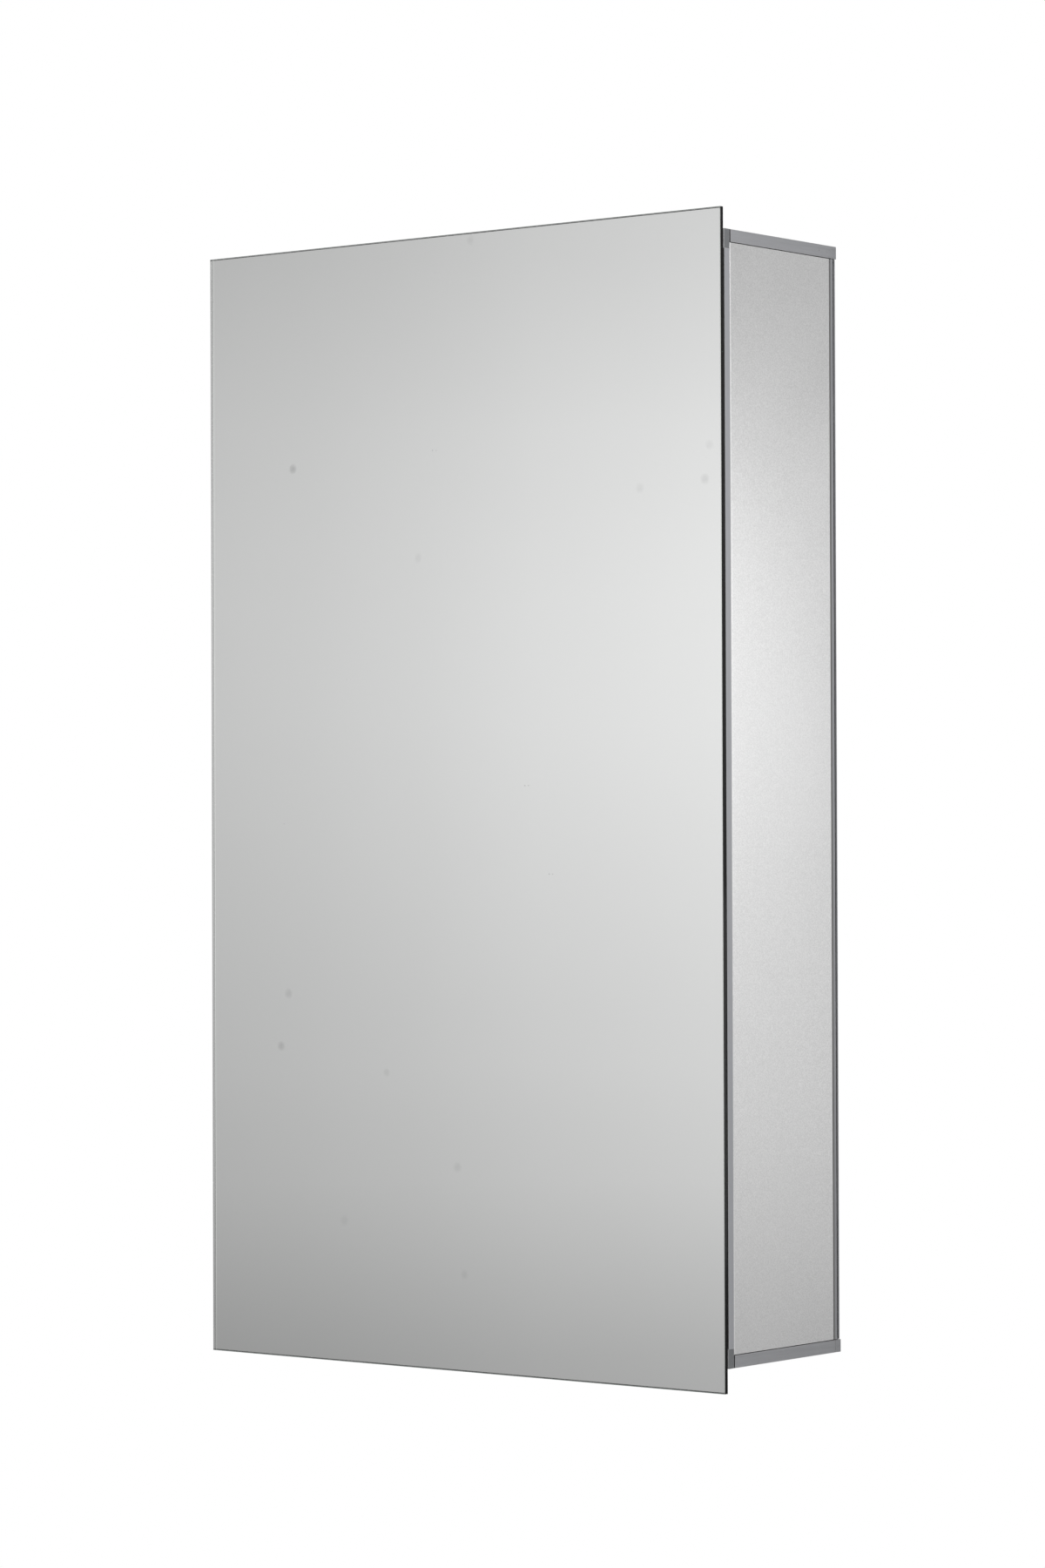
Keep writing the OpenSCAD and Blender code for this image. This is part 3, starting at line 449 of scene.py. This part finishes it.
def glassDepth(tree, look):              # the tint that thick glass takes on
    absorb = addNode(tree, "ShaderNodeVolumeAbsorption", {"Color": look["absorb"],
                                                          "Density": look["density"]})
    tree.links.new(absorb.outputs[0], tree.nodes["Material Output"].inputs["Volume"])


innerMirrorLook = {
    "silver": (0.86, 0.885, 0.875, 1), "edge": (0.16, 0.24, 0.21, 1), "edgeRough": 0.3,
    "dustScale": 70.0, "dustShare": 0.10, "dustTone": 0.55, "dustRough": 0.5,
    "wipeScale": 8.0, "polish": (0.012, 0.03),
}


def innerMirror():                       # silvered glass, taken as one solid; edges ground
    look = innerMirrorLook
    material, tree, shader, place = newMaterial("innerMirror", {"Coat Weight": 0.3,
                                                                "Coat Roughness": 0.02})
    face, specks, ground, dusty = glassSurface(tree, place, "Y", look)
    silver = mixColour(tree, specks, look["silver"], grey(look["dustTone"]))
    tree.links.new(face, shader.inputs["Metallic"])
    applyFinish(tree, shader, mixColour(tree, face, look["edge"], silver),
                wipedGlass(tree, place, ground, dusty, look))
    return material


doorGlassLook = {
    "tint": (0.995, 0.995, 0.995, 1), "edge": (0.006, 0.016, 0.011, 1), "edgeRough": 0.09,
    "arris": (0.80, 0.83, 0.81, 1), "arrisFacing": 0.7, "arrisReach": 0.15,     # slanted edge lines
    "dustScale": 60.0, "dustShare": 0.12, "dustTone": 0.62, "dustRough": 0.5,
    "wipeScale": 6.0, "polish": (0.0, 0.012), "absorb": (0.45, 0.80, 0.62, 1), "density": 4.0,
}


def doorGlass():                         # clear float glass, in front of the silver
    look = doorGlassLook
    material, tree, shader, place = newMaterial("doorGlass", {
        "IOR": 1.52, "Transmission Weight": 1.0, "Specular Tint": grey(0.25)})
    face, specks, ground, dusty = glassSurface(tree, place, "Y", look)
    dusted = mixColour(tree, specks, look["tint"], grey(look["dustTone"]))
    aside = maths(tree, "ABSOLUTE", split(tree, place["Normal"])["X"])
    aside = maths(tree, "ABSOLUTE", maths(tree, "SUBTRACT", aside, look["arrisFacing"]))
    slanted = maths(tree, "LESS_THAN", aside, look["arrisReach"])
    edge = mixColour(tree, slanted, look["edge"], look["arris"])
    applyFinish(tree, shader, mixColour(tree, face, edge, dusted),
                wipedGlass(tree, place, ground, dusty, look))
    glassDepth(tree, look)
    return material


shelfGlassLook = {
    "tint": (0.97, 0.99, 0.98, 1), "edgeRough": 0.30, "absorb": (0.42, 0.84, 0.68, 1), "density": 7.0,
    "dustScale": 80.0, "dustShare": 0.2, "dustTone": 0.6, "dustRough": 0.5,
}


def shelfGlass():
    look = shelfGlassLook
    material, tree, shader, place = newMaterial("shelfGlass", {"IOR": 1.5, "Transmission Weight": 1.0})
    face, specks, ground, dusty = glassSurface(tree, place, "Z", look)
    applyFinish(tree, shader, mixColour(tree, specks, look["tint"], grey(look["dustTone"])),
                maths(tree, "MAXIMUM", ground, dusty))
    glassDepth(tree, look)
    return material


# The two sides of the door's silver coating

silveringLook = {
    "dark": (0.935, 0.933, 0.932, 1), "light": (0.95, 0.948, 0.947, 1), "cloudScale": 5.0,
    "gloss": (0.004, 0.008), "spotTone": 0.42, "spotMiddle": 0.3, "inMillimetres": (1000, 0, 1000),
    # small dull spots: across, up and radius in millimetres, then how dull
    "spots": [(-125.7, 199, 3.4, 0.42), (-130.3, -114.5, 3.6, 0.22), (-136.3, -146, 3.3, 0.32),
              (178.3, 178, 3.6, 0.22), (133, 175, 3.6, 0.12), (181.5, 197, 3.4, 0.12),
              (11, 325, 3.4, 0.14), (-29, 142, 3.4, 0.12), (-1, -213, 3.6, 0.16),
              (-87, -248, 4.0, 0.1), (4, -275, 3.4, 0.14), (-54.3, -159.5, 3.0, 0.16)],
}


def silvering():                         # the side that reflects
    look = silveringLook
    material, tree, shader, place = newMaterial("silvering", {"Metallic": 1.0})
    drift = effect(tree, clouds, Vector=place["Object"], Scale=look["cloudScale"])["Clouds"]
    clean = mixColour(tree, drift, look["dark"], look["light"])
    flat = stretch(tree, place["Object"], look["inMillimetres"])
    dull = 0.0
    for across, up, radius, depth in look["spots"]:
        away = vectorMaths(tree, "DISTANCE", flat, (across, 0, up))["Value"]
        spot = rescale(tree, away, (radius, radius * look["spotMiddle"]), (0.0, depth))
        dull = maths(tree, "MAXIMUM", spot, dull)
    applyFinish(tree, shader, mixColour(tree, dull, clean, grey(look["spotTone"])),
                spread(tree, drift, look["gloss"]))
    return material


backingPaintLook = {
    "dark": (0.185, 0.195, 0.20, 1), "light": (0.235, 0.245, 0.25, 1), "cloudScale": 14.0,
    "speckTone": 0.2, "grainScale": 420.0, "grainDepth": 0.00003, "gloss": (0.35, 0.5),
}


def backingPaint():                      # the paint that seals it from behind
    look = backingPaintLook
    material, tree, shader, place = newMaterial("backingPaint", {"Specular IOR Level": 0.4})
    pebble = effect(tree, grain, Vector=place["Object"], Scale=look["grainScale"])
    drift = effect(tree, clouds, Vector=place["Object"], Scale=look["cloudScale"])["Clouds"]
    rolled = mixColour(tree, drift, look["dark"], look["light"])
    applyFinish(tree, shader, mixColour(tree, pebble["Speckle"], rolled, grey(look["speckTone"])),
                spread(tree, pebble["Grain"], look["gloss"]), pebble["Grain"], look["grainDepth"])
    return material


# Small parts

foamTapeLook = {
    "dark": (0.035, 0.035, 0.038, 1), "light": (0.12, 0.12, 0.125, 1), "poreScale": 2200.0,
    "poreDepth": 0.0001, "poreRange": (0.0, 0.8), "gloss": (0.75, 0.95),
}


def foamTape():
    look = foamTapeLook
    material, tree, shader, place = newMaterial("foamTape", {"Specular IOR Level": 0.25})
    pores = addNode(tree, "ShaderNodeTexVoronoi", {"Vector": place["Object"],
                                                   "Scale": look["poreScale"]}).outputs["Distance"]
    applyFinish(tree, shader, mixColour(tree, pores, look["dark"], look["light"]),
                rescale(tree, pores, look["poreRange"], look["gloss"]), pores, look["poreDepth"])
    return material


whitePlasticLook = {
    "dark": (0.78, 0.775, 0.755, 1), "light": (0.84, 0.838, 0.825, 1), "cloudScale": 30.0,
    "grainScale": 1600.0, "grainDepth": 0.00001, "gloss": (0.3, 0.42),
}


def whitePlastic():                      # shelf supports and catch housings
    look = whitePlasticLook
    material, tree, shader, place = newMaterial("whitePlastic", {"Specular IOR Level": 0.5})
    pebble = effect(tree, grain, Vector=place["Object"], Scale=look["grainScale"])["Grain"]
    drift = effect(tree, clouds, Vector=place["Object"], Scale=look["cloudScale"])["Clouds"]
    applyFinish(tree, shader, mixColour(tree, drift, look["dark"], look["light"]),
                spread(tree, pebble, look["gloss"]), pebble, look["grainDepth"])
    return material


zincSteelLook = {
    "dark": (0.56, 0.575, 0.60, 1), "light": (0.68, 0.675, 0.65, 1), "cloudScale": 160.0,
    "grainScale": 2600.0, "grainDepth": 0.000006, "gloss": (0.22, 0.36),
    "rubAndHighlight": {"reach": 0.0003, "share": 0.6, "tone": 0.85},
}


def zincSteel():                         # plated screws, rivets, pin and strike plates
    look = zincSteelLook
    material, tree, shader, place = newMaterial("zincSteel", {"Metallic": 1.0})
    pebble = effect(tree, grain, Vector=place["Object"], Scale=look["grainScale"])["Grain"]
    drift = effect(tree, clouds, Vector=place["Object"], Scale=look["cloudScale"])["Clouds"]
    plated = mixColour(tree, drift, look["dark"], look["light"])
    applyFinish(tree, shader, rubAndHighlightEdges(tree, plated, look["rubAndHighlight"]), spread(tree, pebble, look["gloss"]),
                pebble, look["grainDepth"])
    return material


magnetLook = {
    "dark": (0.025, 0.025, 0.028, 1), "light": (0.06, 0.06, 0.064, 1), "poleTones": (0.5, 0.62),
    "poleProud": 0.0005, "grainScale": 1800.0, "grainDepth": 0.00002, "gloss": (0.35, 0.55),
}


def magnetBlock():                       # ferrite, with bright pole plates where they stand proud
    look = magnetLook
    material, tree, shader, place = newMaterial("magnetBlock")
    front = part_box("catch_magnets")[0].y
    pole = maths(tree, "LESS_THAN", split(tree, place["Object"])["Y"], front + look["poleProud"])
    pebble = effect(tree, grain, Vector=place["Object"], Scale=look["grainScale"])
    ferrite = mixColour(tree, pebble["Grain"], look["dark"], look["light"])
    steel = mixColour(tree, pebble["Speckle"], *(grey(tone) for tone in look["poleTones"]))
    tree.links.new(pole, shader.inputs["Metallic"])
    applyFinish(tree, shader, mixColour(tree, pole, ferrite, steel),
                spread(tree, pebble["Grain"], look["gloss"]), pebble["Grain"], look["grainDepth"])
    return material


bumperLook = {"dark": (0.86, 0.86, 0.84, 1), "light": (0.93, 0.93, 0.92, 1), "cloudScale": 220.0,
              "gloss": (0.18, 0.3)}


def clearBumper():
    look = bumperLook
    material, tree, shader, place = newMaterial("clearBumper", {"IOR": 1.45,
                                                                "Transmission Weight": 0.75})
    drift = effect(tree, clouds, Vector=place["Object"], Scale=look["cloudScale"])["Clouds"]
    applyFinish(tree, shader, mixColour(tree, drift, look["dark"], look["light"]),
                spread(tree, drift, look["gloss"]))
    return material


# Which node wears what

tapeFoam = foamTape()                    # the dark strips of painted shade at the caps wear it too
wardrobe = [
    (sideSheet(), ["left_side_panel", "right_side_panel"]),
    (capCoat(), ["top_cap", "bottom_cap"]),
    (anodised("anodisedUpright", "z", frameLook["tone"], gapShade),
     ["hinge_stile", "closing_stile", "hinge_leaf"]),
    (anodised("anodisedRear", "z", frameLook["rearTone"], rearShade),
     ["left_rear_profile", "right_rear_profile"]),
    (anodised("anodisedRail", "x", frameLook["tone"]), ["top_rail", "bottom_rail"]),
    (cornerPlastic(), ["top_left_corner", "top_right_corner", "bottom_left_corner",
                       "bottom_right_corner"]),
    (innerSheet(), ["left_inner_wall", "right_inner_wall", "inner_top", "inner_bottom", "door_pan"]),
    (backSheet(), ["back_panel"]),
    (innerMirror(), ["back_mirror", "door_rear_mirror"]),
    (doorGlass(), ["door_mirror"]),
    (tapeFoam, ["back_mirror_tape", "door_tape", "door_rear_pads"]),
    (shelfGlass(), ["upper_shelf", "lower_shelf"]),
    (whitePlastic(), ["upper_shelf_supports", "lower_shelf_supports", "catch_housings"]),
    (zincSteel(), ["hinge_pin", "catch_screws", "cap_screws", "leaf_rivets", "strike_plates",
                   "strike_rivets", "frame_rivets"]),
    (magnetBlock(), ["catch_magnets"]),
    (clearBumper(), ["closing_bumpers"]),
]
for material, wearers in wardrobe:
    for name in wearers:
        worn = nodes[name].data.materials
        worn.clear()
        worn.append(material)
undressed = set(nodes) - {name for _, wearers in wardrobe for name in wearers}
print("nodes dressed:", len(nodes) - len(undressed), "left over:", sorted(undressed))


# Mesh helpers for the new pieces

def addStrip(bm, low, high):             # thin strip with square edges, normals outwards
    xs, ys, zs = zip(low, high)
    verts = [bm.verts.new((x, y, z)) for z in zs for y in ys for x in xs]
    for face in ((0, 2, 3, 1), (4, 5, 7, 6), (0, 1, 5, 4), (2, 6, 7, 3), (0, 4, 6, 2), (1, 3, 7, 5)):
        bm.faces.new([verts[i] for i in face])
    bm.normal_update()


def addObject(name, bm, *materials):
    mesh = bpy.data.meshes.new(name)
    bm.to_mesh(mesh)
    bm.free()
    for material in materials:
        mesh.materials.append(material)
    made = bpy.data.objects.new(name, mesh)
    scene.collection.objects.link(made)
    return made


# The door's silver coating, just inside the back of the glass

silverCoat = {"sideInset": 0.00005, "endInset": 0.0003, "behind": 0.00004, "thick": 0.00006,
              "frontFacing": -0.5}


def makeSilver():
    look = silverCoat
    low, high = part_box("door_mirror")
    backY = high.y - look["behind"]
    bm = bmesh.new()
    addStrip(bm, (low.x + look["sideInset"], backY - look["thick"], low.z + look["endInset"]),
             (high.x - look["sideInset"], backY, high.z - look["endInset"]))
    for face in bm.faces:
        face.material_index = 0 if face.normal.y < look["frontFacing"] else 1
    silver = addObject("doorSilver", bm, silvering(), backingPaint())
    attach(silver, "door")


makeSilver()
print("silver coat made")


# Dark strips in the gap between each cap and the side below or above it: painted shade, a dark fill
# standing in for the shadow in that gap

shadeStripLook = {"setIn": 0.0003, "wide": 0.0022, "front": 0.0004, "rear": 0.0024, "spare": 0.00003}


def makeShadeStrips():
    look = shadeStripLook
    capLow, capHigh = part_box("top_cap")
    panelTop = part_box("right_side_panel")[1].z
    outer = capHigh.x - look["setIn"]
    bm = bmesh.new()
    for side in (-1, 1):
        for end in (-1, 1):
            xs = sorted((side * outer, side * (outer - look["wide"])))
            zs = sorted((end * (panelTop + look["spare"]), end * (capLow.z - look["spare"])))
            addStrip(bm, (xs[0], capLow.y + look["front"], zs[0]),
                     (xs[1], capHigh.y - look["rear"], zs[1]))
    # dark strips standing in for the shade in the gap
    shadeStrips = addObject("capShadeStrips", bm, tapeFoam)
    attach(shadeStrips, "cabinet")


makeShadeStrips()
print("cap seals made")


# Camera, as found from the photograph's own perspective; angles in degrees

cameraSet = {"place": (1.7118, -2.2322, -0.0202), "yaw": 38.152, "pitch": 0.622, "roll": -0.210,
             "sensor": 36.0, "lens": 107.61}


def makeCamera():
    look = cameraSet
    yaw, pitch, roll = (math.radians(look[turn]) for turn in ("yaw", "pitch", "roll"))
    ahead = Vector((-math.sin(yaw) * math.cos(pitch), math.cos(yaw) * math.cos(pitch), math.sin(pitch)))
    level = Vector((math.cos(yaw), math.sin(yaw), 0))
    upright = level.cross(ahead)
    right = math.cos(roll) * level + math.sin(roll) * upright
    up = math.cos(roll) * upright - math.sin(roll) * level
    data = bpy.data.cameras.new("camera")
    data.sensor_fit = "VERTICAL"
    data.sensor_height = look["sensor"]
    data.lens = look["lens"]
    camera = bpy.data.objects.new("camera", data)
    turned = Matrix((right, up, -ahead)).transposed().to_4x4()
    camera.matrix_world = Matrix.Translation(look["place"]) @ turned
    scene.collection.objects.link(camera)
    scene.camera = camera


# Studio: white for the lens, a soft grey sweep for whatever reflects it

studioSweep = {
    # level by height above the horizon, in degrees
    "height": [(-90, 0.75), (-35, 0.72), (-16, 0.58), (-8.5, 0.48), (-6.2, 0.55), (-4.7, 0.705),
               (-3.1, 0.80), (-1.5, 0.86), (0.6, 0.945), (2.2, 0.98), (3.8, 0.965), (5.4, 0.91),
               (7.0, 0.82), (10, 0.76), (20, 0.75), (45, 0.86), (90, 0.92)],
    # share by compass, in degrees from straight in front of the door, left positive
    "round": [(-180, 0.35), (-165, 0.45), (-150, 0.61), (-135, 0.66), (-105, 0.90), (-75, 1.06),
              (-52, 0.66), (-30, 0.62), (-12, 0.80), (0, 0.82), (18, 0.95), (28, 0.97), (35.9, 0.86),
              (38.9, 0.736), (41.9, 0.61), (47, 0.58), (58, 0.72), (80, 0.92), (110, 0.95),
              (140, 0.75), (155, 0.5), (180, 0.35)],
    # the same for the dimmer light on matt surfaces
    "softHeight": [(-90, 0.16), (-40, 0.23), (0, 0.36), (90, 0.40)],
    "softRound": [(-180, 0.62), (-140, 0.80), (-90, 1.0), (0, 1.0), (90, 0.95), (140, 0.75),
                  (180, 0.62)],
}


def makeStudio():
    look = studioSweep
    world = bpy.data.worlds.new("studio")
    scene.world = world
    world.use_nodes = True
    tree = world.node_tree
    way = split(tree, addNode(tree, "ShaderNodeTexCoord").outputs["Generated"])
    height = maths(tree, "ARCSINE", way["Z"])
    byHeight = maths(tree, "ADD", maths(tree, "DIVIDE", height, math.pi), 0.5)
    compass = maths(tree, "ARCTAN2", maths(tree, "MULTIPLY", way["X"], -1.0),
                    maths(tree, "MULTIPLY", way["Y"], -1.0))
    byCompass = maths(tree, "ADD", maths(tree, "DIVIDE", compass, 2 * math.pi), 0.5)

    def sky(heightStops, roundStops):
        tall = levels(tree, byHeight, [((angle + 90) / 180, level) for angle, level in heightStops])
        wide = levels(tree, byCompass, [((angle + 180) / 360, level) for angle, level in roundStops])
        return mixColour(tree, 1.0, tall, wide, "MULTIPLY")

    sweep = sky(look["height"], look["round"])
    soft = sky(look["softHeight"], look["softRound"])
    ray = addNode(tree, "ShaderNodeLightPath").outputs
    mirrored = maths(tree, "MAXIMUM", ray["Is Glossy Ray"], ray["Is Transmission Ray"])
    lit = mixColour(tree, mirrored, soft, sweep)
    seen = mixColour(tree, ray["Is Camera Ray"], lit, grey(1.0))
    tree.links.new(seen, tree.nodes["Background"].inputs["Color"])


# Area lamps: place, aim and size in metres, strength in watts

studioLamps = {
    "overheadSoftbox": {"place": (0.95, -0.85, 1.15), "aim": (0, -0.05, 0.1), "size": (1.1, 1.1),
                        "watts": 20.5},
    "leftFill": {"place": (-1.9, -0.9, 1.4), "aim": (0, 0, 0), "size": (1.2, 1.2), "watts": 12},
    "sideSoftbox": {"place": (1.03, 0.55, 0.12), "aim": (0.19, -0.06, 0.12), "size": (0.5, 0.32),
                    "watts": 0.88},
    "lowSideSoftbox": {"place": (1.0, 0.78, -0.22), "aim": (0.19, -0.06, -0.22), "size": (0.5, 0.30),
                       "watts": 0.225},
}


def makeLamps():
    for name, look in studioLamps.items():
        data = bpy.data.lights.new(name, "AREA")
        data.shape = "RECTANGLE"
        data.size, data.size_y = look["size"]
        data.energy = look["watts"]
        lamp = bpy.data.objects.new(name, data)
        beam = Vector(look["aim"]) - Vector(look["place"])
        lamp.location = look["place"]
        lamp.rotation_euler = beam.to_track_quat("-Z", "Y").to_euler()
        lamp.visible_camera = False
        scene.collection.objects.link(lamp)


# Pale floor well below the cabinet, which fades out before its rim and is clear from below

floorLook = {"height": -0.75, "radius": 1.7, "sides": 96, "solid": 0.6, "clear": 0.98, "tone": 0.86,
             "patchScale": 3.0, "patchDetail": 3.0, "patchTone": 0.98, "lift": 0.45}


def makeFloor():
    look = floorLook
    material, tree, shader, place = newMaterial("paleFloor", {"Roughness": 0.9,
                                                              "Specular IOR Level": 0.2})
    away = vectorMaths(tree, "LENGTH", stretch(tree, place["Object"], (1, 1, 0)))["Value"]
    fade = rescale(tree, away, (look["solid"], look["radius"] * look["clear"]))
    patchy = noise(tree, place["Object"], look["patchScale"], look["patchDetail"])
    tone = mixColour(tree, patchy, grey(look["tone"]), grey(look["tone"] * look["patchTone"]))
    tree.links.new(tone, shader.inputs["Base Color"])
    white = addNode(tree, "ShaderNodeEmission", {"Color": grey(1.0), "Strength": 1.0})
    lens = addNode(tree, "ShaderNodeLightPath").outputs["Is Camera Ray"]
    lift = maths(tree, "MULTIPLY", lens, look["lift"])
    lifted = addNode(tree, "ShaderNodeMixShader", {0: lift, 1: shader.outputs[0], 2: white.outputs[0]})
    clear = addNode(tree, "ShaderNodeBsdfTransparent")
    beneath = addNode(tree, "ShaderNodeNewGeometry").outputs["Backfacing"]
    gone = maths(tree, "MAXIMUM", fade, beneath)
    mixed = addNode(tree, "ShaderNodeMixShader", {0: gone, 1: lifted.outputs[0], 2: clear.outputs[0]})
    tree.links.new(mixed.outputs[0], tree.nodes["Material Output"].inputs["Surface"])
    bm = bmesh.new()
    bmesh.ops.create_circle(bm, cap_ends=True, segments=look["sides"], radius=look["radius"],
                            matrix=Matrix.Translation((0, 0, look["height"])))
    floor = addObject("floor", bm, material)


makeCamera()
makeStudio()
makeLamps()
makeFloor()
print("studio ready")
